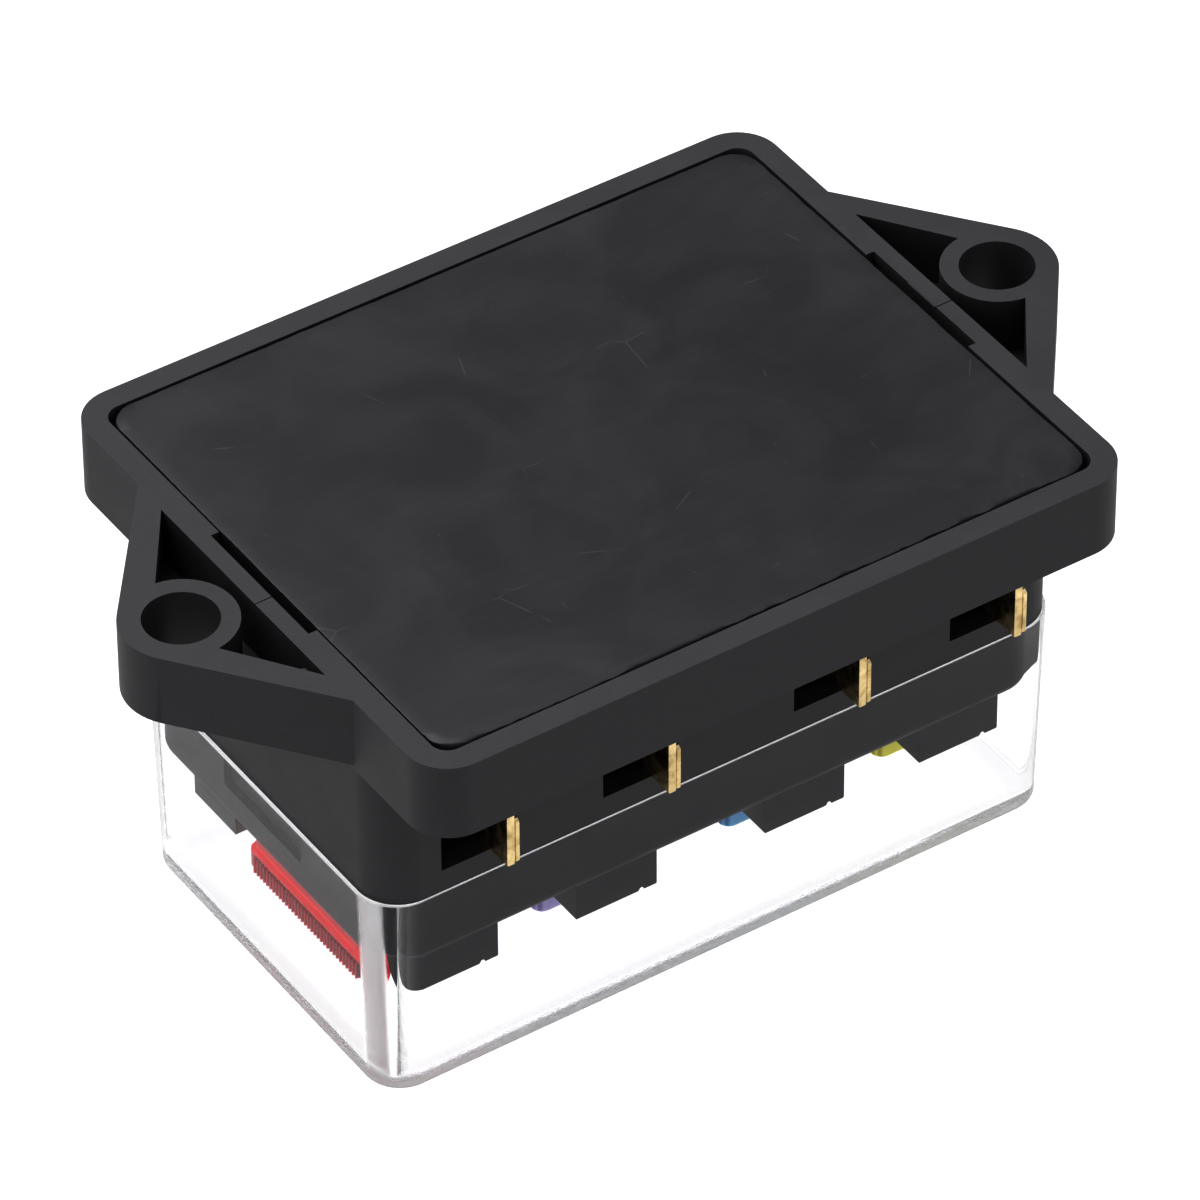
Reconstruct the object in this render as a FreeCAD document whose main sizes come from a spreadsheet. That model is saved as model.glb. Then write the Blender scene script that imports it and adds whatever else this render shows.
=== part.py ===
import FreeCAD, Part
import math
import os
import Sketcher
from FreeCAD import Placement, Rotation, Vector

# A block for four blade fuses with a clear clip-on cover, lying on its cover.
# Origin: the middle of the cover's outer face. +X along the block, +Z towards the mounting face.

doc = FreeCAD.newDocument("fuse_block")
sheet = doc.addObject("Spreadsheet::Sheet", "Sizes")


class Size:
    """A length in millimetres, with the sheet expression that gives it."""

    def __init__(self, value, text):
        self.value = value
        self.text = text

    def __add__(self, other):
        other = as_size(other)
        return Size(self.value + other.value, f"({self.text} + {other.text})")

    def __sub__(self, other):
        other = as_size(other)
        return Size(self.value - other.value, f"({self.text} - {other.text})")

    def __mul__(self, factor):
        return Size(self.value * factor, f"{self.text} * {factor:g}")

    def __truediv__(self, divisor):
        return Size(self.value / divisor, f"{self.text} / {divisor:g}")

    def __neg__(self):
        return self * -1


def as_size(length):
    if isinstance(length, Size):
        return length
    return Size(length, f"({length:g})")


def cell(name, value):
    """Adds a named size to the sheet."""
    cell.row += 1
    sheet.set(f"A{cell.row}", name)
    sheet.set(f"B{cell.row}", str(value))
    sheet.setAlias(f"B{cell.row}", name)
    return Size(value, f"Sizes.{name}")


cell.row = 0

# ---------------------------------------------------------------- driving sizes
rim_length = cell("rim_length", 70.0)
rim_width = cell("rim_width", 56.9)
rim_corner = cell("rim_corner", 4.0)
rim_height = cell("rim_height", 7.5)
total_height = cell("total_height", 43.3)

wall = cell("wall", 2.0)
body_length = cell("body_length", 68.8)
body_width = cell("body_width", 39.0)
cover_length = cell("cover_length", 69.4)
cover_width = cell("cover_width", 39.2)
cover_height = cell("cover_height", 21.4)
cover_wall = cell("cover_wall", 1.2)
face_edge = cell("face_edge", 0.6)
cover_draft = cell("cover_draft", 0.5)
cover_gap = cell("cover_gap", 0.3)
deck_level = cell("deck_level", 13.4)
deck_edge = cell("deck_edge", 1.5)
skirt_corner = cell("skirt_corner", 3.4)

plate_length = cell("plate_length", 65.1)
plate_width = cell("plate_width", 52.0)
plate_thick = cell("plate_thick", 1.9)
plate_corner = cell("plate_corner", 2.6)
plate_gap = cell("plate_gap", 0.15)
seat_corner = cell("seat_corner", 1.6)
ledge = cell("ledge", 1.4)
slot_length = cell("slot_length", 15.0)
slot_width = cell("slot_width", 0.8)

ear_reach = cell("ear_reach", 41.1)
ear_thick = cell("ear_thick", 7.0)
ear_tip = cell("ear_tip", 5.3)
ear_root = cell("ear_root", 17.8)
ear_shoulder_x = cell("ear_shoulder_x", 45.29)
ear_shoulder_y = cell("ear_shoulder_y", 3.25)
ear_pocket_root = cell("ear_pocket_root", 12.6)
ear_floor = cell("ear_floor", 1.5)
boss_radius = cell("boss_radius", 4.95)
hole_radius = cell("hole_radius", 3.3)

inner_place = cell("inner_place", 9.65)
outer_place = cell("outer_place", 25.7)
row_shift = cell("row_shift", -1.1)
tower_shift = cell("tower_shift", 0.5)
socket_width = cell("socket_width", 8.2)
front_tower_near = cell("front_tower_near", 9.6)
front_tower_far = cell("front_tower_far", 17.2)
front_tower_end = cell("front_tower_end", 9.4)
back_tower_near = cell("back_tower_near", 9.2)
back_tower_far = cell("back_tower_far", 15.7)
back_tower_end = cell("back_tower_end", 7.4)
tower_rib = cell("tower_rib", 1.3)
tower_notch = cell("tower_notch", 0.5)
window_width = cell("window_width", 6.1)
window_height = cell("window_height", 7.5)
window_level = cell("window_level", 23.7)
window_shift = cell("window_shift", 1.15)

tab_height = cell("tab_height", 5.9)
tab_thick = cell("tab_thick", 1.2)
tab_level = cell("tab_level", 24.2)
tab_reach = cell("tab_reach", 22.7)
tab_shift = cell("tab_shift", 3.4)
leaf_thick = cell("leaf_thick", 0.5)
tab_bevel = cell("tab_bevel", 0.7)

fuse_width = cell("fuse_width", 19.1)
fuse_thick = cell("fuse_thick", 5.4)
fuse_end = cell("fuse_end", 3.5)
head_height = cell("head_height", 2.1)
neck_width = cell("neck_width", 18.0)
neck_thick = cell("neck_thick", 3.9)
seat_level = cell("seat_level", 15.4)
blade_offset = cell("blade_offset", 5.6)
blade_width = cell("blade_width", 5.2)
blade_thick = cell("blade_thick", 0.65)
blade_end = cell("blade_end", 22.0)
running_gap = cell("running_gap", 0.05)
moulding_gap = cell("moulding_gap", 0.2)
doc.recompute()

rim_level = total_height - rim_height
fuse_places = [row_shift - outer_place, row_shift - inner_place,
               row_shift + inner_place, row_shift + outer_place]


# ---------------------------------------------------------------- feature helpers
def new_body(label):
    body = doc.addObject("PartDesign::Body", label)
    body.Label = label
    return body


def new_sketch(body, name, level):
    """A sketch parallel to the body's XY plane, at a height given as a Size."""
    sketch = body.newObject("Sketcher::SketchObject", name)
    plane = [item for item in body.Origin.OriginFeatures if item.Role == "XY_Plane"][0]
    sketch.AttachmentSupport = (plane, [""])
    sketch.MapMode = "FlatFace"
    level = as_size(level)
    sketch.AttachmentOffset = Placement(Vector(0, 0, level.value), Rotation())
    sketch.setExpression("AttachmentOffset.Base.z", level.text)
    return sketch


def bind(sketch, constraint, length):
    """Adds a dimension and ties it to its expression."""
    index = sketch.addConstraint(constraint)
    sketch.setExpression(f"Constraints[{index}]", length.text)


def pin(sketch, geometry, position, x, y):
    """Dimensions a point from the sketch's origin."""
    bind(sketch, Sketcher.Constraint("DistanceX", -1, 1, geometry, position, x.value), x)
    bind(sketch, Sketcher.Constraint("DistanceY", -1, 1, geometry, position, y.value), y)


def polygon(points):
    """Draws a closed outline with straight sides through the given points."""
    def draw(sketch):
        spots = [(as_size(x), as_size(y)) for x, y in points]
        for start, end in zip(spots, spots[1:] + spots[:1]):
            line = Part.LineSegment(Vector(start[0].value, start[1].value, 0),
                                    Vector(end[0].value, end[1].value, 0))
            sketch.addGeometry(line, False)
        for index, (x, y) in enumerate(spots):
            following = (index + 1) % len(spots)
            sketch.addConstraint(Sketcher.Constraint("Coincident", index, 2, following, 1))
            pin(sketch, index, 1, x, y)
    return draw


def rectangle(x_low, x_high, y_low, y_high):
    return polygon([(x_low, y_low), (x_high, y_low), (x_high, y_high), (x_low, y_high)])


def circle(x, y, radius):
    def draw(sketch):
        centre = Vector(as_size(x).value, as_size(y).value, 0)
        sketch.addGeometry(Part.Circle(centre, Vector(0, 0, 1), radius.value), False)
        bind(sketch, Sketcher.Constraint("Radius", 0, radius.value), radius)
        pin(sketch, 0, 3, as_size(x), as_size(y))
    return draw


def rounded(length, width, radius):
    """Draws a rectangle with round corners about the sketch's origin."""
    def draw(sketch):
        radius_size = as_size(radius)
        across = length / 2 - radius_size
        along = width / 2 - radius_size
        quarter = 1.5707963267948966
        corners = [(across, along), (-across, along), (-across, -along), (across, -along)]
        r = radius_size.value
        for index, (x, y) in enumerate(corners):
            arc = Part.ArcOfCircle(Part.Circle(Vector(x.value, y.value, 0), Vector(0, 0, 1), r),
                                   index * quarter, (index + 1) * quarter)
            sketch.addGeometry(arc, False)
        for index in range(4):
            start = sketch.Geometry[index].EndPoint
            end = sketch.Geometry[(index + 1) % 4].StartPoint
            sketch.addGeometry(Part.LineSegment(start, end), False)
        for index, (x, y) in enumerate(corners):
            side = index + 4
            sketch.addConstraint(Sketcher.Constraint("Tangent", index, 2, side, 1))
            sketch.addConstraint(Sketcher.Constraint("Tangent", side, 2, (index + 1) % 4, 1))
            pin(sketch, index, 3, x, y)
            bind(sketch, Sketcher.Constraint("Radius", index, r), radius_size)
    return draw


def add(body, name, outline, low, high):
    """Pads an outline from one height up to another."""
    sketch = new_sketch(body, name + "_sketch", low)
    outline(sketch)
    pad = body.newObject("PartDesign::Pad", name)
    pad.Profile = sketch
    pad.setExpression("Length", (as_size(high) - low).text)
    doc.recompute()
    return pad


def cut(body, name, outline, low, high):
    """Pockets an outline from one height up to another, and proves that it removed something."""
    before = body.Shape.Volume
    sketch = new_sketch(body, name + "_sketch", low)
    outline(sketch)
    pocket = body.newObject("PartDesign::Pocket", name)
    pocket.Profile = sketch
    pocket.Type = "Length"
    pocket.Reversed = True
    pocket.setExpression("Length", (as_size(high) - low).text)
    doc.recompute()
    if body.Shape.Volume > before - 0.01:
        raise RuntimeError(f"{body.Label}: {name} cut nothing")
    return pocket


def round_edges(body, name, kind, size, wanted):
    """Fillets or chamfers the edges of the body's tip that the test picks."""
    tip = body.Tip
    names = [f"Edge{index + 1}" for index, edge in enumerate(tip.Shape.Edges) if wanted(edge)]
    if not names:
        raise RuntimeError(f"{body.Label}: {name} found no edge")
    feature = body.newObject(f"PartDesign::{kind}", name)
    feature.Base = (tip, names)
    feature.setExpression("Radius" if kind == "Fillet" else "Size", size.text)
    doc.recompute()
    return feature


def lies_at(edge, level):
    """True for an edge that lies flat at a height."""
    box = edge.BoundBox
    return abs(box.ZMin - level) < 1e-4 and abs(box.ZMax - level) < 1e-4


# ---------------------------------------------------------------- base housing
def base_housing():
    body = new_body("base_housing")
    skirt_length = cover_length - cover_wall * 2 - cover_gap * 2
    skirt_width = cover_width - cover_wall * 2 - cover_gap * 2
    cavity_length = plate_length - ledge * 2

    # Outer shape: skirt and deck inside the cover, body above it, rim on top.
    add(body, "skirt", rounded(skirt_length, skirt_width, skirt_corner), deck_level, cover_height)
    round_edges(body, "skirt_edge", "Fillet", deck_edge, lambda edge: lies_at(edge, deck_level.value))
    add(body, "body_block", rounded(body_length, body_width, rim_corner), cover_height, rim_level)
    add(body, "rim", rounded(rim_length, rim_width, rim_corner), rim_level, total_height)

    # Ears: two sloping walls round a bored boss, with an open pocket between the boss and the rim.
    ear_level = total_height - ear_thick
    for side, name in ((-1, "left"), (1, "right")):
        tip_x = ear_reach * side
        root_x = (rim_length / 2 - 1) * side
        shoulder_x = ear_shoulder_x * side
        add(body, f"ear_{name}", polygon([(root_x, -ear_root), (shoulder_x, -ear_shoulder_y),
                                          (shoulder_x, ear_shoulder_y), (root_x, ear_root)]),
            ear_level, total_height)
        add(body, f"ear_tip_{name}", circle(tip_x, 0, ear_tip), ear_level, total_height)
        wall_x = (rim_length / 2 + 0.15) * side
        pocket_x = (ear_reach - 0.6) * side
        cut(body, f"ear_pocket_{name}", polygon([(wall_x, -ear_pocket_root), (pocket_x, -boss_radius),
                                                 (pocket_x, boss_radius), (wall_x, ear_pocket_root)]),
            ear_level + ear_floor, total_height)
        add(body, f"boss_{name}", circle(tip_x, 0, boss_radius), ear_level, total_height)
        cut(body, f"ear_hole_{name}", circle(tip_x, 0, hole_radius), rim_level, total_height + 1)

    # Hollow: a seat for the bottom plate, and the terminal space under it.
    seat_length = plate_length + plate_gap * 2
    seat_width = plate_width + plate_gap * 2
    plate_seat_level = total_height - plate_thick
    cut(body, "plate_seat", rounded(seat_length, seat_width, seat_corner), plate_seat_level, total_height)
    cut(body, "rim_hollow", rounded(cavity_length, plate_width - ledge * 2, 2),
        rim_level + 1.6, plate_seat_level)
    cut(body, "body_hollow", rounded(cavity_length, body_width - wall * 2, 1),
        cover_height + wall, rim_level + 1.6)
    cut(body, "skirt_hollow", rounded(skirt_length - wall * 2, skirt_width - wall * 2, 1),
        deck_level + wall, cover_height + wall)

    # A wall along the middle keeps the front and back terminals apart.
    spine_half = cavity_length / 2 + 0.1
    add(body, "spine", rectangle(-spine_half, spine_half, as_size(-0.8), as_size(0.8)),
        deck_level + wall - 0.1, window_level + window_height)

    # Pry slots beside the plate, and the recess under each snap of the cover.
    for side, name in ((-1, "left"), (1, "right")):
        edge_x = (seat_length / 2) * side
        cut(body, f"pry_slot_{name}", rectangle(edge_x - slot_width, edge_x + slot_width,
                                                -slot_length / 2, slot_length / 2),
            plate_seat_level - 1.2, total_height)
        skirt_x = (skirt_length / 2) * side
        cut(body, f"snap_recess_{name}", rectangle(skirt_x - 0.7, skirt_x + 0.7, as_size(-6), as_size(6)),
            cover_height - 4.3, cover_height - 1.4)

    # For each fuse: a socket block, two towers, the fuse's own pocket and two clip chambers.
    towers = ((-1, "front", front_tower_near, front_tower_far, front_tower_end),
              (1, "back", back_tower_near, back_tower_far, back_tower_end))
    for number, x in enumerate(fuse_places, 1):
        left = x + tower_shift - socket_width / 2
        right = x + tower_shift + socket_width / 2
        add(body, f"socket_{number}", rectangle(left, right, -front_tower_far, back_tower_far),
            deck_level + 0.5, window_level - 0.3)
        for flank, word, near, far, end in towers:
            near = near * flank
            far = far * flank
            add(body, f"tower_{number}_{word}", rectangle(left, right, near, far), end, deck_level + 0.5)
            rib_x = right - tower_rib
            cut(body, f"tower_notch_{number}_{word}", rectangle(rib_x - tower_notch, rib_x, near, far),
                end, end + tower_notch)
            chamber_near = (blade_offset - blade_width / 2 - moulding_gap) * flank
            chamber_far = (blade_offset + blade_width / 2 + moulding_gap) * flank
            chamber_half = blade_thick / 2 + running_gap + leaf_thick + moulding_gap
            cut(body, f"chamber_{number}_{word}",
                rectangle(x - chamber_half, x + chamber_half, chamber_near, chamber_far),
                seat_level, window_level + 0.1)
            window_far = (body_width / 2 + 1) * flank
            window_near = (body_width / 2 - wall - 0.5) * flank
            window_x = x + window_shift * -flank
            cut(body, f"window_{number}_{word}",
                rectangle(window_x - window_width / 2, window_x + window_width / 2, window_near, window_far),
                window_level, window_level + window_height)
        cut(body, f"fuse_pocket_{number}",
            rectangle(x - neck_thick / 2 - moulding_gap, x + neck_thick / 2 + moulding_gap,
                      -neck_width / 2 - moulding_gap, neck_width / 2 + moulding_gap),
            deck_level - 1, seat_level + 0.1)
    return body


# ---------------------------------------------------------------- bottom plate
def bottom_plate():
    body = new_body("bottom_plate")
    add(body, "plate", rounded(plate_length, plate_width, plate_corner),
        total_height - plate_thick + 0.02, total_height)
    tongue_x = plate_length / 2 - ledge - 0.2
    for side, name in ((-1, "left"), (1, "right")):
        add(body, f"tongue_{name}", rectangle((tongue_x - 1.3) * side, tongue_x * side,
                                              -slot_length / 2 + 1, slot_length / 2 - 1),
            total_height - plate_thick - 3.5, total_height - plate_thick + 0.1)
    return body


# ---------------------------------------------------------------- clear cover
def clear_cover():
    body = new_body("clear_cover")
    draft = Size(math.degrees(math.atan2(cover_draft.value, cover_height.value)),
                 f"atan({cover_draft.text} / {cover_height.text})")
    face_length = cover_length - cover_draft * 2
    face_width = cover_width - cover_draft * 2
    shell = add(body, "shell", rounded(face_length, face_width, rim_corner - cover_draft), 0, cover_height)
    shell.setExpression("TaperAngle", draft.text)
    doc.recompute()
    round_edges(body, "face_edge", "Fillet", face_edge, lambda edge: lies_at(edge, 0))
    hollow = cut(body, "hollow", rounded(face_length - cover_wall * 2, face_width - cover_wall * 2,
                                         rim_corner - cover_draft - cover_wall), cover_wall, cover_height)
    hollow.setExpression("TaperAngle", draft.text)
    doc.recompute()
    return body


# ---------------------------------------------------------------- terminals
def terminal(label, x, flank):
    """A tab outside the window and a forked clip on the fuse's blade, stamped from folded brass.

    The back row is the same stamping turned half a turn, so its tabs shift the other way."""
    body = new_body(label)
    shift = tab_shift * -flank
    half = tab_thick / 2
    clip_near = blade_offset - blade_width / 2
    clip_far = blade_offset + blade_width / 2
    jog = clip_far + 2.6
    tip = tab_reach - tab_bevel

    def spot(dx, y):
        return (x + dx, as_size(y) * flank)

    add(body, "strip", polygon([spot(-half, clip_near), spot(half, clip_near), spot(half, clip_far),
                                spot(shift + half, jog), spot(shift + half, tip),
                                spot(shift + half * 0.5, tab_reach), spot(shift - half * 0.5, tab_reach),
                                spot(shift - half, tip), spot(shift - half, jog), spot(-half, clip_far)]),
        tab_level, tab_level + tab_height)
    clip_half = blade_thick / 2 + running_gap + leaf_thick
    add(body, "clip", rectangle(x - clip_half, x + clip_half, clip_near * flank, clip_far * flank),
        seat_level + 0.4, tab_level + 2)
    slot_half = blade_thick / 2 + running_gap
    cut(body, "clip_slot", rectangle(x - slot_half, x + slot_half, (clip_near - 0.1) * flank,
                                     (clip_far + 0.1) * flank),
        seat_level + 0.3, blade_end + 0.5)
    end = abs(tab_reach.value)
    level_high = tab_level.value + tab_height.value

    def top_corner(edge):
        box = edge.BoundBox
        at_end = abs(abs(box.YMin) - end) < 1e-4 and abs(abs(box.YMax) - end) < 1e-4
        flat = box.ZMax - box.ZMin < 1e-4
        return at_end and flat and abs(box.ZMin - level_high) < 1e-4

    round_edges(body, "top_corner", "Chamfer", tab_bevel, top_corner)
    return body


# ---------------------------------------------------------------- fuses
def fuse_body(label, x):
    """A fuse's moulded body: a ribbed head, and a narrower neck that holds the element."""
    body = new_body(label)
    half_thick = fuse_thick / 2
    half_neck = neck_thick / 2
    add(body, "head", rectangle(x - half_thick, x + half_thick, -fuse_width / 2, fuse_width / 2),
        fuse_end, fuse_end + head_height)

    def head_corner(edge):
        box = edge.BoundBox
        return box.XMax - box.XMin < 1e-4 and box.YMax - box.YMin < 1e-4

    round_edges(body, "head_corners", "Fillet", as_size(0.8), head_corner)
    add(body, "neck", rectangle(x - half_neck, x + half_neck, -neck_width / 2, neck_width / 2),
        fuse_end + head_height - 0.5, seat_level)
    element_half = blade_offset + blade_width / 2 + 0.02
    slot_half = blade_thick / 2 + 0.02
    cut(body, "element_slot", rectangle(x - slot_half, x + slot_half, -element_half, element_half),
        fuse_end + 1.2, seat_level + 0.1)
    cut(body, "neck_gap", rectangle(x - half_neck - 0.1, x + half_neck + 0.1,
                                    -blade_offset / 2, blade_offset / 2),
        seat_level - 2.4, seat_level + 0.1)
    return body


def fuse_element(label, x):
    """The fuse's metal: two blades joined by a thin link."""
    body = new_body(label)
    half = blade_thick / 2
    for flank, word in ((-1, "front"), (1, "back")):
        near = (blade_offset - blade_width / 2) * flank
        far = (blade_offset + blade_width / 2) * flank
        if flank < 0:
            add(body, "link", rectangle(x - half, x + half, near - 0.5, -near + 0.5),
                fuse_end + 3, fuse_end + 4.6)
        add(body, f"blade_{word}", rectangle(x - half, x + half, near, far), fuse_end + 1.4, blade_end)
    top = blade_end.value

    def tip_corner(edge):
        box = edge.BoundBox
        return lies_at(edge, top) and box.YMax - box.YMin < 1e-4

    round_edges(body, "tip_corners", "Chamfer", as_size(1.2), tip_corner)
    return body


pieces = [base_housing(), bottom_plate(), clear_cover()]
for number, x in enumerate(fuse_places, 1):
    pieces.append(terminal(f"terminal_front_{number}", x, -1))
    pieces.append(terminal(f"terminal_back_{number}", x, 1))
    pieces.append(fuse_body(f"fuse_body_{number}", x))
    pieces.append(fuse_element(f"fuse_element_{number}", x))

# ---------------------------------------------------------------- checks and files
doc.recompute()
for item in doc.Objects:
    if "Invalid" in item.State or "Error" in item.State:
        raise RuntimeError(f"{item.Label} failed: {item.State}")
for piece in pieces:
    if piece.Shape.isNull() or not piece.Shape.isValid() or len(piece.Shape.Solids) != 1:
        raise RuntimeError(f"{piece.Label} has no valid solid")

os.makedirs("parts", exist_ok=True)
for piece in pieces:
    piece.Shape.exportStep(f"parts/{piece.Label}.step")
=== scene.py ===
import math
import random

import bmesh
import bpy
from mathutils import Matrix, Vector


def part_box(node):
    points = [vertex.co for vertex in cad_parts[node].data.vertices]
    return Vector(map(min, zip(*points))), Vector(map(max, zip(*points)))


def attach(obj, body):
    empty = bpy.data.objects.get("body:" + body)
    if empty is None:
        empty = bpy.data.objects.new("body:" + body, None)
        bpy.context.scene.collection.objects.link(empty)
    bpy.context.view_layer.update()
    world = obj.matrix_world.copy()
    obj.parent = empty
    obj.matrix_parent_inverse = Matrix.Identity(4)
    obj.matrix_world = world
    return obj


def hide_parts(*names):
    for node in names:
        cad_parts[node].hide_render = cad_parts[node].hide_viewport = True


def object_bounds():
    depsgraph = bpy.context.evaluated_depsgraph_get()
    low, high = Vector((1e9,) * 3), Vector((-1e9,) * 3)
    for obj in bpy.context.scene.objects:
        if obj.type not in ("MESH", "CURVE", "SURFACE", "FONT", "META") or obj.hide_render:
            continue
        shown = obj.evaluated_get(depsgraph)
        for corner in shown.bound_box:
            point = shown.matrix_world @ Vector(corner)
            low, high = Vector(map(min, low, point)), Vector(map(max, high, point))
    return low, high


# A clear-covered block for four blade fuses, lying on its cover with the mounting face up.
# Lengths are in metres, and MM is one millimetre.

MM = 0.001
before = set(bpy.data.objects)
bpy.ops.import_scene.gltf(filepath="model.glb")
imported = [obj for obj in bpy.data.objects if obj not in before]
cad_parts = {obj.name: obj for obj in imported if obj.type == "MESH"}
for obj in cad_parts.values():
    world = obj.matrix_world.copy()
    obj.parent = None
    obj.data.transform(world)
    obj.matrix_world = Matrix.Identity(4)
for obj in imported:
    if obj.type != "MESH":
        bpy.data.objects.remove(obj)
cad_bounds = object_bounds()
scene = bpy.context.scene

# The photo's contrast, and enough bounces for light to get through the clear cover.
PHOTO_GAMMA = 0.65
LIGHT_BOUNCES = 96
scene.view_settings.view_transform = "Standard"
scene.view_settings.gamma = PHOTO_GAMMA
scene.cycles.max_bounces = LIGHT_BOUNCES
scene.cycles.glossy_bounces = LIGHT_BOUNCES
scene.cycles.transmission_bounces = LIGHT_BOUNCES

# Places and sizes that meshes and materials share.
top = cad_bounds[1][2]
plate_low, plate_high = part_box("bottom_plate")
cover_low, cover_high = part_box("clear_cover")
COVER_DRAFT = 0.5 * MM
RIB_PITCH = 0.5 * MM
RIB_DEPTH = 0.3 * MM
HEAD_HEIGHT = 2.1 * MM
head_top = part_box("fuse_body_1")[0].z + HEAD_HEIGHT
rib_top = head_top - 0.3 * MM


# ---------------------------------------------------------------- mesh helpers
def new_object(name, mesh):
    piece = bpy.data.objects.new(name, mesh)
    scene.collection.objects.link(piece)
    return piece


def from_bmesh(name, bm):
    bmesh.ops.recalc_face_normals(bm, faces=bm.faces)
    mesh = bpy.data.meshes.new(name)
    bm.to_mesh(mesh)
    bm.free()
    return new_object(name, mesh)


def open_mesh(piece):
    bm = bmesh.new()
    bm.from_mesh(piece.data)
    return bm


def close_mesh(piece, bm):
    bm.to_mesh(piece.data)
    bm.free()


def finish_surface(piece, angle=32):
    """Smooth shading with crisp edges, and flat faces that stay flat."""
    piece.data.shade_smooth()
    piece.data.set_sharp_from_angle(angle=math.radians(angle))
    weighted = piece.modifiers.new("even_normals", "WEIGHTED_NORMAL")
    weighted.keep_sharp = True


def apply_modifiers(piece):
    graph = bpy.context.evaluated_depsgraph_get()
    mesh = bpy.data.meshes.new_from_object(piece.evaluated_get(graph))
    piece.modifiers.clear()
    piece.data = mesh


def cut_away(piece, cutter):
    """Cuts one mesh out of another, and removes the cutter."""
    boolean = piece.modifiers.new("cut", "BOOLEAN")
    boolean.operation = "DIFFERENCE"
    boolean.solver = "EXACT"
    boolean.object = cutter
    apply_modifiers(piece)
    bpy.data.objects.remove(cutter)


def add_box(bm, low, high):
    """Adds a box between two corners."""
    middle = (Vector(low) + Vector(high)) / 2
    size = Vector(high) - Vector(low)
    bmesh.ops.create_cube(bm, size=1, matrix=Matrix.Translation(middle) @ Matrix.Diagonal((*size, 1)))


def box_object(name, low, high):
    bm = bmesh.new()
    add_box(bm, low, high)
    return from_bmesh(name, bm)


def rounded_outline(length, width, radius, steps):
    """Points round a rectangle with round corners, counter-clockwise."""
    points = []
    centres = [(1, 1), (-1, 1), (-1, -1), (1, -1)]
    for index, (sx, sy) in enumerate(centres):
        cx = sx * (length / 2 - radius)
        cy = sy * (width / 2 - radius)
        for step in range(steps + 1):
            angle = math.radians(90) * (index + step / steps)
            points.append(Vector((cx + radius * math.cos(angle), cy + radius * math.sin(angle), 0)))
    return points


def skin(bm, rings):
    """Joins rings of equally many points with quads, and caps both ends."""
    loops = [[bm.verts.new(point) for point in ring] for ring in rings]
    for lower, upper in zip(loops, loops[1:]):
        count = len(lower)
        for index in range(count):
            following = (index + 1) % count
            bm.faces.new((lower[index], lower[following], upper[following], upper[index]))
    bm.faces.new(list(reversed(loops[0])))
    bm.faces.new(loops[-1])


def at_height(points, z):
    return [Vector((point.x, point.y, z)) for point in points]


def copy_of(node, name):
    """A copy of a CAD node, with its points joined and its flat faces made whole."""
    bm = open_mesh(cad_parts[node])
    bmesh.ops.remove_doubles(bm, verts=bm.verts, dist=0.001 * MM)
    bmesh.ops.dissolve_limit(bm, angle_limit=math.radians(0.6), verts=bm.verts, edges=bm.edges)
    return from_bmesh(name, bm)


def break_edges(piece, width, angle=35, segments=2, wanted=lambda edge: True):
    """Rounds the edges of a piece that are sharper than an angle, or the wanted ones of them."""
    bm = open_mesh(piece)
    sharp = [edge for edge in bm.edges if len(edge.link_faces) == 2
             and edge.calc_face_angle() > math.radians(angle) and wanted(edge)]
    bmesh.ops.bevel(bm, geom=sharp, offset=width, segments=segments, profile=0.5,
                    affect="EDGES", clamp_overlap=True)
    close_mesh(piece, bm)


def hand_over(piece, body, node):
    """Makes a piece stand for a CAD node on its body."""
    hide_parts(node)
    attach(piece, body)


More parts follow.
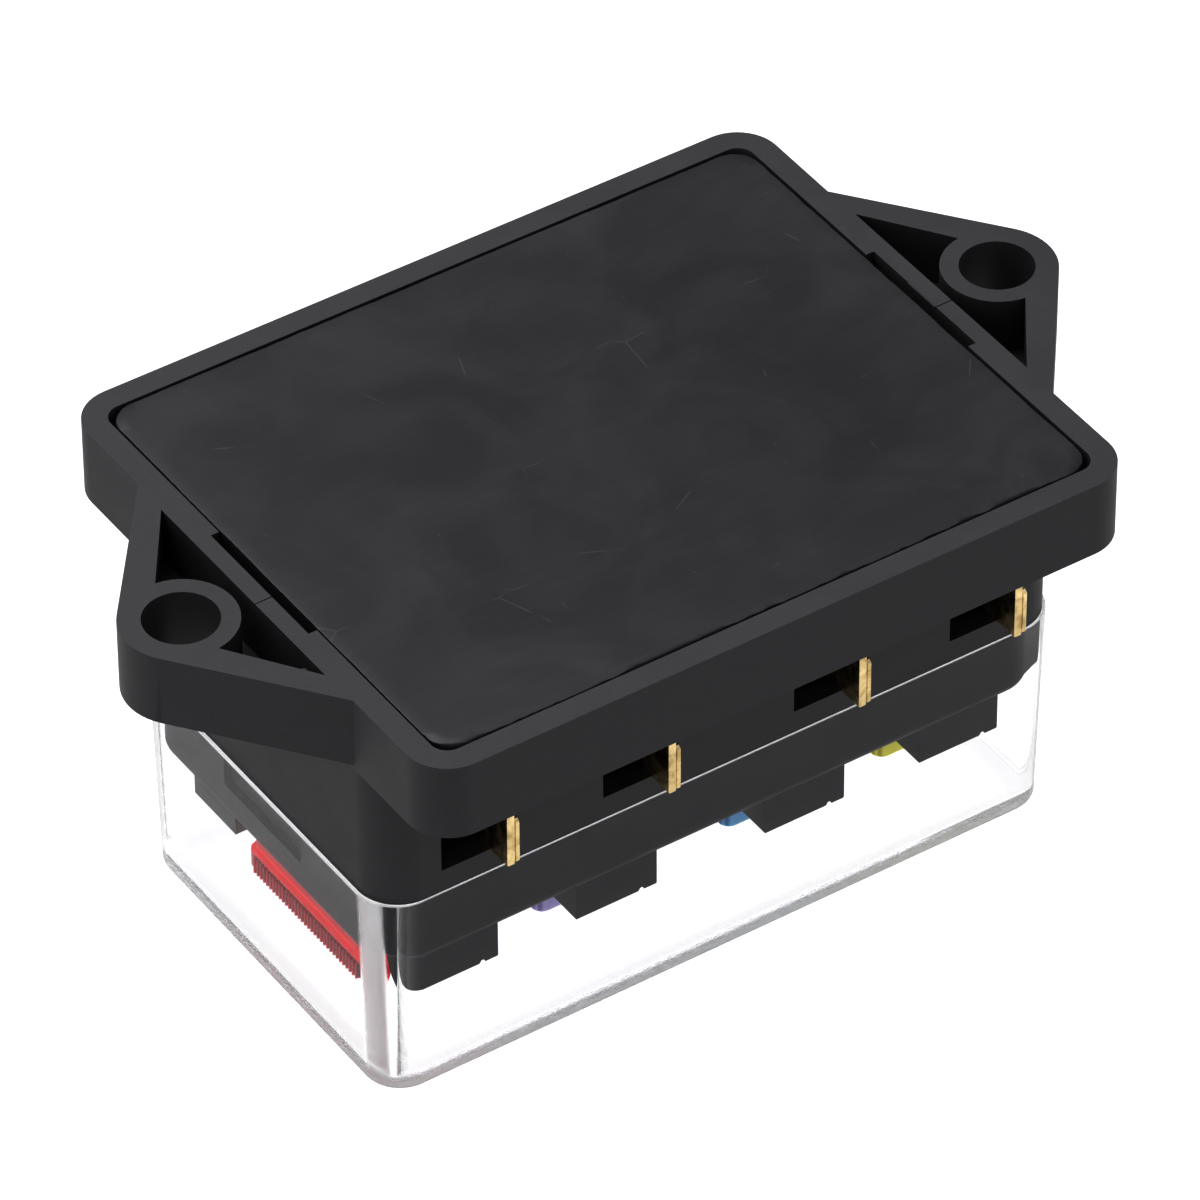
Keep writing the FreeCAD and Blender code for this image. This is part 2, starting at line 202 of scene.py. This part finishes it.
# ---------------------------------------------------------------- shader helpers
class Shader:
    """A node material with a Principled shader and short calls for the nodes it needs.

    It starts from plain values, and colour_from and roughness_from put textures in their place.
    """

    def __init__(self, name, colour, roughness, **settings):
        self.material = bpy.data.materials.new(name)
        self.material.use_nodes = True
        self.tree = self.material.node_tree
        self.principled = self.tree.nodes["Principled BSDF"]
        self.set(self.principled, "Base Color", (*colour, 1))
        self.set(self.principled, "Roughness", roughness)
        for socket, value in settings.items():
            self.set(self.principled, socket.replace("_", " "), value)
        self.place = self.tree.nodes.new("ShaderNodeTexCoord")

    def set(self, node, socket, value):
        node.inputs[socket].default_value = value

    def link(self, source, target):
        self.tree.links.new(source, target)

    def coordinates(self, stretch=(1, 1, 1), turn=(0, 0, 0)):
        mapping = self.tree.nodes.new("ShaderNodeMapping")
        self.link(self.place.outputs["Object"], mapping.inputs["Vector"])
        self.set(mapping, "Scale", stretch)
        self.set(mapping, "Rotation", turn)
        return mapping.outputs["Vector"]

    def noise(self, size, detail, stretch=(1, 1, 1), turn=(0, 0, 0), distortion=0):
        """Noise whose features are about this size."""
        node = self.tree.nodes.new("ShaderNodeTexNoise")
        self.link(self.coordinates(stretch, turn), node.inputs["Vector"])
        self.set(node, "Scale", 1 / size)
        self.set(node, "Detail", detail)
        self.set(node, "Distortion", distortion)
        return node.outputs["Fac"]

    def cells(self, size, feature="F1"):
        """The distance to the nearest of many points about this far apart, or to their cells' edges."""
        node = self.tree.nodes.new("ShaderNodeTexVoronoi")
        node.feature = feature
        self.link(self.coordinates(), node.inputs["Vector"])
        self.set(node, "Scale", 1 / size)
        return node.outputs["Distance"]

    def along(self, axis):
        """Where a point is along an axis, X, Y or Z."""
        node = self.tree.nodes.new("ShaderNodeSeparateXYZ")
        self.link(self.place.outputs["Object"], node.inputs["Vector"])
        return node.outputs[axis]

    def distance_along(self, axis):
        """How far a point is from zero on an axis."""
        return self.combine(self.along(axis), 0, "ABSOLUTE")

    def ramp(self, value, low, high, from_value=0.0, to_value=1.0):
        """Turns one range of a value into another."""
        node = self.tree.nodes.new("ShaderNodeMapRange")
        self.link(value, node.inputs["Value"])
        self.set(node, "From Min", low)
        self.set(node, "From Max", high)
        self.set(node, "To Min", from_value)
        self.set(node, "To Max", to_value)
        return node.outputs["Result"]

    def combine(self, first, second, operation="MULTIPLY"):
        node = self.tree.nodes.new("ShaderNodeMath")
        node.operation = operation
        for socket, value in zip(node.inputs, (first, second)):
            if isinstance(value, (int, float)):
                socket.default_value = value
            else:
                self.link(value, socket)
        return node.outputs[0]

    def tint(self, value, dark, light):
        """A colour between two, by a value from 0 to 1."""
        node = self.tree.nodes.new("ShaderNodeMix")
        node.data_type = "RGBA"
        self.link(value, node.inputs["Factor"])
        self.set(node, "A", (*dark, 1))
        self.set(node, "B", (*light, 1))
        return node.outputs["Result"]

    def colour_from(self, value, dark, light):
        self.link(self.tint(value, dark, light), self.principled.inputs["Base Color"])

    def roughness_from(self, value, low, high):
        """Roughness between two values, by the middle half of a noise."""
        self.link(self.ramp(value, 0.25, 0.75, low, high), self.principled.inputs["Roughness"])

    def bump(self, height, depth, strength):
        """Relief of about this depth; more than one adds up."""
        node = self.tree.nodes.new("ShaderNodeBump")
        self.set(node, "Distance", depth)
        self.set(node, "Strength", strength)
        self.link(height, node.inputs["Height"])
        below = self.principled.inputs["Normal"]
        if below.is_linked:
            self.link(below.links[0].from_socket, node.inputs["Normal"])
        self.link(node.outputs["Normal"], below)


def paint(piece, shader):
    piece.data.materials.clear()
    piece.data.materials.append(shader.material)


# ---------------------------------------------------------------- materials
def moulded_black():
    """Black moulding with soft waves, faint flow mottling and dust, and a painted reflection that makes it
    paler low on the skirt.
    """
    shader = Shader("moulded_black", (0.038, 0.038, 0.04), 0.5, Specular_IOR_Level=0.4)
    mottle = shader.noise(6 * MM, 5, stretch=(1, 1, 1.6), distortion=0.6)
    dust = shader.combine(shader.ramp(shader.cells(1.9 * MM), 0.06, 0.03),
                          shader.ramp(shader.noise(4 * MM, 1), 0.5, 0.6))
    grain = shader.ramp(shader.noise(0.5 * MM, 2), 0.35, 0.65, -0.05, 0.05)
    cloudy = shader.combine(shader.ramp(mottle, 0.35, 0.7, 0.05, 0.3), grain, "ADD")
    # Painted reflection: the colour turns paler, in patches, low on the skirt and towers, standing in for
    # the clear cover's reflection that lightens them.
    painted_reflection_starts = 21.6 * MM
    painted_reflection_full = 20 * MM
    painted_reflection_low = shader.ramp(shader.along("Z"), painted_reflection_starts, painted_reflection_full, 0, 0.45)
    painted_reflection_patches = shader.ramp(shader.noise(3 * MM, 3, stretch=(1, 1, 0.3)), 0.3, 0.7, 0.5, 1.0)
    shade = shader.combine(shader.combine(cloudy, dust, "MAXIMUM"), shader.combine(painted_reflection_low, painted_reflection_patches), "ADD")
    shader.colour_from(shade, (0.036, 0.0355, 0.038), (0.065, 0.065, 0.069))
    shader.roughness_from(mottle, 0.46, 0.58)
    shader.bump(shader.noise(2.4 * MM, 1), 0.03 * MM, 0.25)
    return shader


def plate_black():
    """The bottom plate: a fine sanded grain, cloudy wear, a few scratches and specks."""
    shader = Shader("plate_black", (0.024, 0.024, 0.026), 0.42, Specular_IOR_Level=0.38)
    grain = shader.noise(0.55 * MM, 4, stretch=(0.1, 1, 1), turn=(0, 0, 0.45))
    cloud = shader.noise(13 * MM, 6, distortion=1.2)
    cracks = shader.ramp(shader.cells(11 * MM, "DISTANCE_TO_EDGE"), 0.008, 0.002)
    patches = shader.ramp(shader.noise(6 * MM, 2), 0.6, 0.66)
    specks = shader.combine(shader.ramp(shader.cells(2.6 * MM), 0.05, 0.03),
                            shader.ramp(shader.noise(5 * MM, 1), 0.52, 0.6))
    marks = shader.combine(shader.combine(cracks, patches), specks, "MAXIMUM")
    wear = shader.combine(shader.ramp(cloud, 0.42, 0.72, 0, 0.32),
                          shader.ramp(grain, 0.4, 0.75, 0, 0.08), "ADD")
    # The colour turns paler from the middle towards the plate's ends and sides.
    paler = 0.16
    paler_towards_ends = shader.ramp(shader.distance_along("X"), 20 * MM, 33 * MM, 0, paler)
    paler_towards_sides = shader.ramp(shader.distance_along("Y"), 14 * MM, 26 * MM, 0, paler)
    paler_towards_edges = shader.combine(paler_towards_ends, paler_towards_sides, "MAXIMUM")
    shade = shader.combine(shader.combine(wear, paler_towards_edges, "ADD"), shader.combine(marks, 0.8), "MAXIMUM")
    shader.colour_from(shade, (0.0125, 0.0123, 0.0137), (0.056, 0.056, 0.06))
    shader.roughness_from(cloud, 0.4, 0.52)
    shader.bump(grain, 0.01 * MM, 0.2)
    shader.bump(shader.noise(5 * MM, 4), 0.08 * MM, 0.3)
    return shader


def clear_plastic():
    """Clear polycarbonate with polished walls. Its lower edge, its corners and its lip are satin."""
    shader = Shader("clear_plastic", (0.995, 0.995, 1.0), 0.0, IOR=1.5, Transmission_Weight=1.0,
                    Specular_Tint=(0, 0, 0, 1))
    end = cover_high.x
    side = cover_high.y
    mouth = cover_high.z
    slope = COVER_DRAFT / mouth
    edge_top = 1.4 * MM
    edge_full = 0.9 * MM
    edge_roughness = 0.6
    corner_roughness = 0.4
    lip_roughness = 0.5
    across = shader.distance_along("X")
    along = shader.distance_along("Y")
    up = shader.distance_along("Z")

    def past(distance, limit, blend):
        """0 up to a limit, and 1 from one blend beyond it."""
        return shader.ramp(distance, limit, limit + blend)

    end_band = past(across, end - 4.1 * MM, MM)
    side_band = past(along, side - 4.2 * MM, MM)
    outer_band = shader.combine(end_band, side_band, "MAXIMUM")
    lower_edge = shader.combine(outer_band, shader.ramp(up, edge_top, edge_full))
    undrafted = shader.combine(across, shader.combine(up, slope), "SUBTRACT")
    corners = shader.combine(past(undrafted, end - 1.7 * MM, 0.3 * MM), past(along, side - 4 * MM, 0.6 * MM))
    lip = past(up, mouth - 0.2 * MM, 0.1 * MM)
    lower = shader.combine(shader.combine(lower_edge, edge_roughness),
                           shader.combine(corners, corner_roughness), "MAXIMUM")
    satin = shader.combine(lower, shader.combine(lip, lip_roughness), "MAXIMUM")
    shader.link(satin, shader.principled.inputs["Roughness"])
    return shader


def terminal_brass():
    """Stamped brass with fine shear lines and a slightly darker tarnish."""
    shader = Shader("terminal_brass", (0.75, 0.62, 0.34), 0.26, Metallic=1.0)
    shear = shader.noise(0.4 * MM, 3, stretch=(3, 3, 0.15))
    tarnish = shader.noise(1.6 * MM, 4, distortion=0.5)
    shader.colour_from(shader.ramp(tarnish, 0.35, 0.65), (0.46, 0.35, 0.18), (0.82, 0.68, 0.4))
    shader.roughness_from(tarnish, 0.2, 0.34)
    shader.bump(shear, 0.02 * MM, 0.4)
    return shader


def fuse_plastic(name, groove_shade_colour, light):
    """Tinted fuse plastic that light soaks through, with a painted glow (emission) on its ledge and painted
    shade in the grooves between its ribs.
    """
    shader = Shader(name, light, 0.35, IOR=1.5, Specular_IOR_Level=0.3, Subsurface_Weight=0.9,
                    Subsurface_Radius=light, Subsurface_Scale=3 * MM)
    # Painted shade: between the ribs the colour turns to the deep one, for the shade that falls in the
    # grooves.
    turns = shader.combine(shader.along("Y"), math.tau / RIB_PITCH)
    ribs = shader.ramp(shader.combine(turns, 0, "COSINE"), -1, 1)
    height = shader.along("Z")
    blend = 0.05 * MM
    ribbed = shader.ramp(height, rib_top + blend, rib_top - blend)
    painted_groove_shade = shader.combine(ribbed, shader.combine(1, ribs, "SUBTRACT"))
    cloud = shader.ramp(shader.noise(2.5 * MM, 3), 0.3, 0.7, 0.85, 1.0)
    shader.colour_from(shader.combine(cloud, painted_groove_shade, "SUBTRACT"), groove_shade_colour, light)
    # Painted glow: the ledge emits its own light colour, standing in for light coming up through the head.
    painted_glow_ledge = shader.combine(shader.ramp(height, head_top - 0.2 * MM, head_top - 0.1 * MM),
                           shader.ramp(height, head_top + 0.6 * MM, head_top + 0.2 * MM))
    glow = 0.3
    shader.set(shader.principled, "Emission Color", (*light, 1))
    shader.link(shader.combine(painted_glow_ledge, glow), shader.principled.inputs["Emission Strength"])
    shader.bump(shader.noise(0.8 * MM, 2), 0.01 * MM, 0.3)
    return shader


def fuse_metal():
    """Zinc strip with a fine upright grain."""
    shader = Shader("fuse_metal", (0.66, 0.66, 0.68), 0.34, Metallic=1.0)
    grain = shader.noise(0.3 * MM, 3, stretch=(1, 1, 0.2))
    shader.colour_from(shader.ramp(grain, 0.3, 0.7), (0.56, 0.56, 0.58), (0.76, 0.76, 0.77))
    shader.roughness_from(grain, 0.28, 0.42)
    shader.bump(grain, 0.01 * MM, 0.5)
    return shader


def studio_floor():
    """A glowing white floor. Its mirror images are dim, most of all on the left, as with black flags."""
    shader = Shader("studio_floor", (0.05, 0.05, 0.05), 0.9, Specular_IOR_Level=0.0)
    glow = 1.14
    dimmed = 0.5
    dimmed_left = 0.89
    flag_edge = -36 * MM
    blend = 2 * MM
    faint = shader.noise(50 * MM, 3)
    shader.colour_from(shader.ramp(faint, 0.3, 0.7), (0.048, 0.048, 0.048), (0.052, 0.052, 0.052))
    shader.set(shader.principled, "Emission Color", (1, 1, 1, 1))
    path = shader.tree.nodes.new("ShaderNodeLightPath")
    mirrored = shader.combine(path.outputs["Is Reflection Ray"], path.outputs["Is Singular Ray"])
    flags = shader.ramp(shader.along("X"), flag_edge + blend, flag_edge - blend, dimmed, dimmed_left)
    lit = shader.combine(glow, shader.combine(mirrored, flags), "SUBTRACT")
    shader.link(lit, shader.principled.inputs["Emission Strength"])
    return shader


# ---------------------------------------------------------------- base housing
def flake(bm, place, size, seed):
    """A small torn chip of flash."""
    source = random.Random(seed)
    made = bmesh.ops.create_icosphere(bm, subdivisions=2, radius=1, matrix=Matrix.Translation(place))
    for vert in made["verts"]:
        away = vert.co - place
        swell = 0.7 + 0.6 * source.random()
        vert.co = place + Vector((away.x * size[0], away.y * size[1], away.z * size[2])) * swell


def joint_line(housing, x, y):
    """Cuts a fine groove across an end land, like the line where two parts of a mould meet."""
    half_length = 0.98 * MM
    half_width = 0.05 * MM
    depth = 0.25 * MM
    low = (x - half_length, y - half_width, top - depth)
    high = (x + half_length, y + half_width, top + MM)
    cut_away(housing, box_object("joint_line", low, high))


def edge_flash(bm):
    """Small chips of flash along the rim's two long sides."""
    source = random.Random(12)
    for _ in range(26):
        side = source.choice((-1, 1))
        x = source.uniform(-30, 31)
        y = side * source.uniform(28.3, 28.36)
        z = source.uniform(43.0, 43.15)
        length = source.uniform(0.1, 0.5)
        flake(bm, Vector((x, y, z)) * MM, (length * MM, 0.06 * MM, 0.08 * MM), source.random())


def base_housing(shader):
    """The CAD moulding with its edges broken, joint lines across the end lands, and flash left on it."""
    housing = copy_of("base_housing", "housing")
    joint_line(housing, -34.2 * MM, -1.9 * MM)
    joint_line(housing, 34.45 * MM, -1.65 * MM)
    towers_below = 13.3 * MM
    break_edges(housing, 0.45 * MM, angle=60, segments=3,
                wanted=lambda edge: edge.calc_length() > 1.2 * MM
                and all(vert.co.z < towers_below for vert in edge.verts))
    break_edges(housing, 0.14 * MM)

    # A raised patch on the right end land, a torn burr by the left ear, and flash round the rim.
    bm = open_mesh(housing)
    patch_low = Vector((33.42, -1.55, 43.1)) * MM
    patch_high = Vector((35.1, 2.4, 43.27)) * MM
    add_box(bm, patch_low, patch_high)
    burr = Vector((-36.45, -11.0, 43.0)) * MM
    flake(bm, burr, (0.5 * MM, 0.45 * MM, 0.25 * MM), 3)
    burr_tail = Vector((-36.8, -10.7, 42.8)) * MM
    flake(bm, burr_tail, (0.3 * MM, 0.3 * MM, 0.3 * MM), 5)
    edge_flash(bm)
    close_mesh(housing, bm)
    paint(housing, shader)
    finish_surface(housing)
    hand_over(housing, "base", "base_housing")


# ---------------------------------------------------------------- bottom plate
def wandering(count, seed):
    """Smooth random values from 0 to 1 round a closed loop."""
    reach = 3
    source = random.Random(seed)
    values = [source.random() for _ in range(count)]
    return [sum(values[(index + step) % count] for step in range(-reach, reach + 1)) / (2 * reach + 1)
            for index in range(count)]


def dense_outline(length, width, radius, pitch):
    """The same rounded rectangle with evenly spread points, and the outward direction at each."""
    outline = rounded_outline(length, width, radius, 14)
    points = []
    for start, end in zip(outline, outline[1:] + outline[:1]):
        parts = max(1, round((end - start).length / pitch))
        points += [start.lerp(end, step / parts) for step in range(parts)]
    count = len(points)
    outward = []
    for index in range(count):
        along = points[(index + 1) % count] - points[index - 1]
        outward.append(Vector((along.y, -along.x, 0)).normalized())
    return points, outward


def bottom_plate(shader):
    """The plate's edge wanders a little, as a trimmed moulding's does, most of all along the front."""
    length = plate_high.x - plate_low.x
    width = plate_high.y - plate_low.y
    corner = 2.6 * MM
    point_pitch = 0.5 * MM
    wander = 0.88 * MM
    sunk = 0.06 * MM
    points, outward = dense_outline(length, width, corner, point_pitch)
    rough = wandering(len(points), 4)
    face = top - sunk

    def ring(inset, z, share):
        """The outline, moved inwards by an inset and by a share of its wandering."""
        placed = []
        for point, direction, value in zip(points, outward, rough):
            front = 1.0 if point.y < -width * 0.45 else 0.3
            moved = point - direction * (inset + share * front * wander * abs(value - 0.45))
            placed.append(Vector((moved.x, moved.y, z)))
        return placed

    bm = bmesh.new()
    skin(bm, [ring(0.02 * MM, face - 1.8 * MM, 0), ring(0.02 * MM, face - 0.3 * MM, 0.5),
              ring(0.06 * MM, face - 0.06 * MM, 1), ring(0.16 * MM, face, 1),
              ring(1.2 * MM, face, 0)])
    plate = from_bmesh("plate", bm)
    paint(plate, shader)
    finish_surface(plate)
    hand_over(plate, "base", "bottom_plate")


# ---------------------------------------------------------------- clear cover
def clear_cover(shader):
    """A drafted box with thin walls and rounded edges, closed at the bottom."""
    mouth_length = cover_high.x - cover_low.x
    mouth_width = cover_high.y - cover_low.y
    height = cover_high.z
    wall = 1.2 * MM
    corner = 4 * MM
    inner_corner = 1.1 * MM
    edge = 0.6 * MM
    inner_edge = 0.3 * MM
    lip = 0.12 * MM
    smallest_round = 0.2 * MM

    def section(z, inset, radius):
        """The outline at a height, drafted and moved inwards."""
        taper = COVER_DRAFT * (1 - z / height)
        length = mouth_length - 2 * (inset + taper)
        width = mouth_width - 2 * (inset + taper)
        return at_height(rounded_outline(length, width, max(radius - taper, smallest_round), 16), z)

    rings = []
    for step in range(7):
        angle = math.radians(90) * step / 6
        inset = edge * (1 - math.sin(angle))
        rings.append(section(edge * (1 - math.cos(angle)), inset, corner - inset))
    for share in (0.35, 0.7):
        rings.append(section(height * share, 0, corner))
    rings.append(section(height - lip, 0, corner))
    rings.append(section(height - lip * 0.3, lip * 0.3, corner - lip * 0.3))
    rings.append(section(height, lip, corner - lip))
    rings.append(section(height, wall - lip, inner_corner + lip))
    rings.append(section(height - lip, wall, inner_corner))
    for share in (0.7, 0.35):
        rings.append(section(height * share, wall, inner_corner))
    for step in range(5):
        angle = math.radians(90) * step / 4
        inset = wall + inner_edge * (1 - math.cos(angle))
        rings.append(section(wall + inner_edge * (1 - math.sin(angle)), inset, inner_corner + wall - inset))
    bm = bmesh.new()
    skin(bm, rings)
    cover = from_bmesh("cover", bm)
    paint(cover, shader)
    finish_surface(cover, 50)
    hand_over(cover, "cover", "clear_cover")


# ---------------------------------------------------------------- terminals
TAB_CUT = 17.4 * MM
TAB_REACH = 22.68 * MM
TAB_LOW = 24.22 * MM
TAB_HIGH = 30.08 * MM


def leaf(bm, x_low, x_high, reach, low, high, flank, bevel):
    """One layer of the folded tab, with its upper tip corner cut off and the lower one rounded."""
    inner = TAB_CUT - 0.2 * MM
    soft = 0.08 * MM
    edge = 0.07 * MM
    side = [(inner, low), (reach - soft, low), (reach - soft * 0.3, low + soft * 0.3), (reach, low + soft),
            (reach, high - bevel), (reach - bevel, high), (inner, high)]
    middle_y = (inner + reach) / 2
    middle_z = (low + high) / 2
    rings = []
    for x, shrink in ((x_low, edge), (x_low + edge, 0), (x_high - edge, 0), (x_high, edge)):
        rings.append([Vector((x, flank * (y - math.copysign(shrink, y - middle_y)),
                              z - math.copysign(shrink, z - middle_z))) for y, z in side])
    skin(bm, rings)


def terminal(node, shader):
    """The CAD clip and strip inside the block, and a tab of two folded layers outside it."""
    low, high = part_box(node)
    flank = 1 if high.y > 0 else -1
    brass = copy_of(node, node + "_brass")
    bm = open_mesh(brass)
    cut = bmesh.ops.bisect_plane(bm, geom=bm.verts[:] + bm.edges[:] + bm.faces[:],
                                 plane_co=(0, flank * TAB_CUT, 0), plane_no=(0, flank, 0), clear_outer=True)
    rim = [item for item in cut["geom_cut"] if isinstance(item, bmesh.types.BMEdge)]
    bmesh.ops.holes_fill(bm, edges=rim)
    close_mesh(brass, bm)
    break_edges(brass, 0.08 * MM)

    thick = 0.76 * MM
    gap = 0.05 * MM
    thin = 0.49 * MM
    first_low = high.x - 1.45 * MM if flank < 0 else low.x + 0.15 * MM
    first_high = first_low + thick
    second_low = first_high + gap
    second_high = second_low + thin
    bm = open_mesh(brass)
    leaf(bm, first_low, first_high, TAB_REACH, TAB_LOW, TAB_HIGH, flank, 0.2 * MM)
    leaf(bm, second_low, second_high, TAB_REACH - 0.08 * MM, TAB_LOW + 0.1 * MM, TAB_HIGH - 1.2 * MM,
         flank, 0.3 * MM)
    bmesh.ops.recalc_face_normals(bm, faces=bm.faces)
    close_mesh(brass, bm)
    paint(brass, shader)
    finish_surface(brass)
    hand_over(brass, "base", node)


# ---------------------------------------------------------------- fuses
def fuse_body(number, shader):
    """A head with fine grip ribs on both faces, on a plain neck."""
    node = f"fuse_body_{number}"
    low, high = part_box(node)
    middle = (low + high) / 2
    head_half = (high.x - low.x) / 2 - RIB_DEPTH
    head = rounded_outline(2 * head_half, high.y - low.y, 1.1 * MM, 6)
    neck = rounded_outline(3.9 * MM, 18 * MM, 0.5 * MM, 6)

    def ring(outline, z, inset=0.0):
        """An outline at a height, shrunk by an inset of the head."""
        shrink_x = 1 - inset / head_half
        shrink_y = 1 - inset / (high.y - low.y) * 2
        return [Vector((middle.x + point.x * shrink_x, point.y * shrink_y, z)) for point in outline]

    bm = bmesh.new()
    skin(bm, [ring(head, low.z, 0.3 * MM), ring(head, low.z + 0.1 * MM, 0.08 * MM),
              ring(head, low.z + 0.3 * MM), ring(head, head_top - 0.1 * MM), ring(head, head_top, 0.1 * MM),
              ring(neck, head_top), ring(neck, high.z - 0.3 * MM), ring(neck, high.z, 0.2 * MM)])
    ribs = 33
    rib_half = RIB_PITCH * 0.33
    rooted = 0.02 * MM
    rib_low = low.z + 0.12 * MM
    for index in range(ribs):
        y = (index - (ribs - 1) / 2) * RIB_PITCH
        for side in (-1, 1):
            face = middle.x + side * head_half
            outline = []
            for step in range(5):
                angle = math.pi * step / 4
                outline.append((face + side * (RIB_DEPTH * math.sin(angle) - rooted),
                                y + rib_half * math.cos(angle)))
            skin(bm, [[Vector((x, where, z)) for x, where in outline] for z in (rib_low, rib_top)])
    body = from_bmesh(f"fuse_{number}_body", bm)
    paint(body, shader)
    finish_surface(body)
    hand_over(body, f"fuse_{number}", node)


def fuse_element(number, shader):
    """The CAD blades and link, with their edges broken."""
    node = f"fuse_element_{number}"
    element = copy_of(node, f"fuse_{number}_metal")
    break_edges(element, 0.06 * MM)
    paint(element, shader)
    finish_surface(element)
    hand_over(element, f"fuse_{number}", node)


# ---------------------------------------------------------------- build the object
base_housing(moulded_black())
bottom_plate(plate_black())
clear_cover(clear_plastic())
brass = terminal_brass()
metal = fuse_metal()
for row in ("front", "back"):
    for number in range(1, 5):
        terminal(f"terminal_{row}_{number}", brass)
# Each fuse has a slot name, a deep colour painted into its grooves as shade, and a light one.
tints = {1: ("fuse_red", (0.1, 0.01, 0.04), (1.0, 0.07, 0.08)),
         2: ("fuse_violet", (0.3, 0.26, 0.5), (0.6, 0.54, 0.82)),
         3: ("fuse_blue", (0.1, 0.28, 0.5), (0.3, 0.56, 0.8)),
         4: ("fuse_yellow", (0.5, 0.46, 0.06), (0.9, 0.86, 0.2))}
for number, (slot, groove_shade_colour, light) in tints.items():
    fuse_body(number, fuse_plastic(slot, groove_shade_colour, light))
    fuse_element(number, metal)


# ---------------------------------------------------------------- stage, lights and camera
def studio():
    """A wide floor just under the object, and a pale surround."""
    half_width = 3.0
    gap = 0.2 * MM
    bm = bmesh.new()
    bmesh.ops.create_grid(bm, x_segments=8, y_segments=8, size=half_width)
    floor = from_bmesh("floor", bm)
    floor.location.z = -gap
    paint(floor, studio_floor())

    world = bpy.data.worlds.new("studio")
    scene.world = world
    world.use_nodes = True
    background = world.node_tree.nodes["Background"]
    pale_blue = (0.86, 0.86, 0.93, 1)
    background.inputs["Color"].default_value = pale_blue
    background.inputs["Strength"].default_value = 0.76


def area_light(name, place, size, power):
    """A rectangular light that points at the middle of the object."""
    aim = Vector((0, 0, 20 * MM))
    data = bpy.data.lights.new(name, "AREA")
    data.shape = "RECTANGLE"
    data.size, data.size_y = size
    data.energy = power
    light = bpy.data.objects.new(name, data)
    scene.collection.objects.link(light)
    light.location = place
    light.rotation_euler = (aim - Vector(place)).to_track_quat("-Z", "Y").to_euler()


def camera():
    """A long lens, looking down on the front left corner."""
    azimuth = math.radians(-33.70)
    elevation = math.radians(40.66)
    roll = math.radians(-0.30)
    distance = 0.798
    shift_right = 0.18 * MM
    shift_up = -13.55 * MM
    back = Vector((math.sin(azimuth) * math.cos(elevation), -math.cos(azimuth) * math.cos(elevation),
                   math.sin(elevation)))
    right = Vector((math.cos(azimuth), math.sin(azimuth), 0))
    up = back.cross(right)
    right_rolled = math.cos(roll) * right + math.sin(roll) * up
    up_rolled = -math.sin(roll) * right + math.cos(roll) * up
    data = bpy.data.cameras.new("camera")
    data.lens = 286.2
    data.sensor_width = 36
    data.clip_start = 0.05
    data.clip_end = 20
    view = bpy.data.objects.new("camera", data)
    scene.collection.objects.link(view)
    place = Vector((0, 0, top)) + back * distance + right_rolled * shift_right + up_rolled * shift_up
    turn = Matrix((right_rolled, up_rolled, back)).transposed().to_4x4()
    view.matrix_world = Matrix.Translation(place) @ turn
    scene.camera = view


studio()
area_light("overhead", (-0.1, 0.45, 1.0), (0.9, 0.7), 15.5)
area_light("left_side", (-0.9, 0.3, 0.5), (0.5, 0.6), 2.0)
area_light("front_right", (0.6, -0.9, 0.5), (0.6, 0.5), 1.0)
camera()
